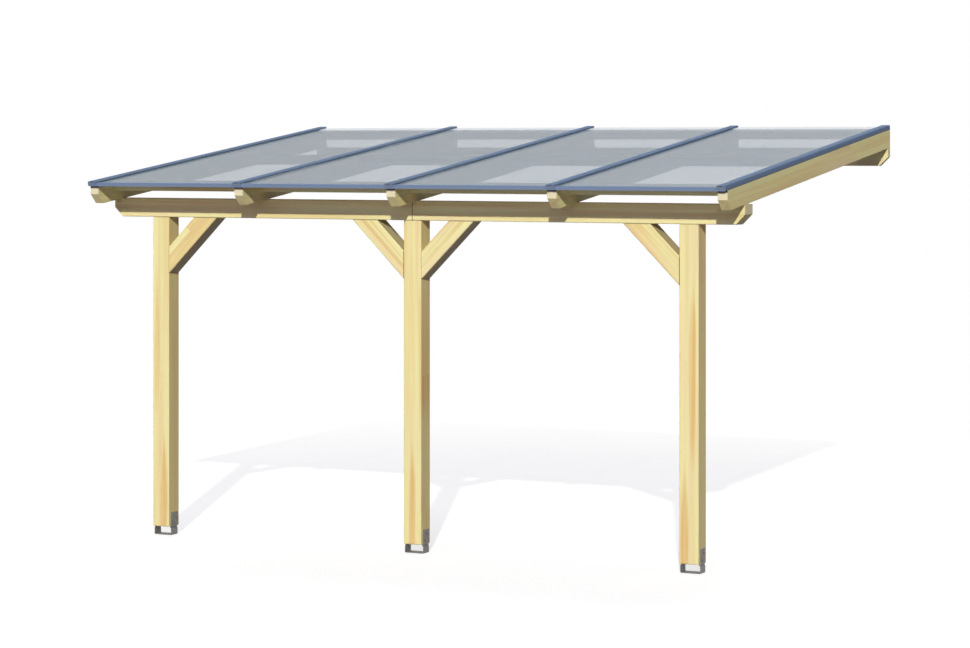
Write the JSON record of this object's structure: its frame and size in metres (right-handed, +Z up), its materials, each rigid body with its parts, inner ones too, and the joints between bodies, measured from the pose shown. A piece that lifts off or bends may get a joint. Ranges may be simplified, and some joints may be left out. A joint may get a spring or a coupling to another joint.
{
  "type": "attached patio cover",
  "caption": "Lean-to terrace roof of glued timber with braced posts on steel anchors, rafters and twin-wall sheets under aluminium cover strips, fixed to a wall.",
  "frame": {"origin": "on the ground, at the middle of the underside of the middle post's anchor", "axes": "+X along the wall to the right as seen from the garden, +Y towards the wall, +Z up"},
  "size_m": [4.34, 2.9574, 2.6278],
  "materials": {
    "glued_timber": "planed, unpainted",
    "anchor_steel": "galvanised",
    "seal_rubber": "matt",
    "twin_wall_sheet": "clear, ribbed",
    "cover_aluminium": "anodised, blue grey"
  },
  "bodies": {
    "root": {"post_left": "glued_timber", "post_middle": "glued_timber", "post_right": "glued_timber", "front_beam_left": "glued_timber", "front_beam_right": "glued_timber", "wall_purlin_left": "glued_timber", "wall_purlin_right": "glued_timber", "knee_brace_left": "glued_timber", "knee_brace_middle_left": "glued_timber", "knee_brace_middle_right": "glued_timber", "knee_brace_right": "glued_timber", "rafter_1": "glued_timber", "rafter_2": "glued_timber", "rafter_3": "glued_timber", "rafter_4": "glued_timber", "rafter_5": "glued_timber", "eave_batten_1": "glued_timber", "eave_batten_2": "glued_timber", "eave_batten_3": "glued_timber", "eave_batten_4": "glued_timber", "wall_batten_1": "glued_timber", "wall_batten_2": "glued_timber", "wall_batten_3": "glued_timber", "wall_batten_4": "glued_timber", "middle_battens": "glued_timber", "post_anchor_left": "anchor_steel", "post_anchor_middle": "anchor_steel", "post_anchor_right": "anchor_steel", "rafter_seal_1": "seal_rubber", "rafter_seal_2": "seal_rubber", "rafter_seal_3": "seal_rubber", "rafter_seal_4": "seal_rubber", "rafter_seal_5": "seal_rubber", "roof_sheet_1": "twin_wall_sheet", "roof_sheet_2": "twin_wall_sheet", "roof_sheet_3": "twin_wall_sheet", "roof_sheet_4": "twin_wall_sheet", "cover_strip_1": "cover_aluminium", "cover_strip_2": "cover_aluminium", "cover_strip_3": "cover_aluminium", "cover_strip_4": "cover_aluminium", "cover_strip_5": "cover_aluminium", "eave_profile_1": "cover_aluminium", "eave_profile_2": "cover_aluminium", "eave_profile_3": "cover_aluminium", "eave_profile_4": "cover_aluminium"}
  },
  "joints": []
}
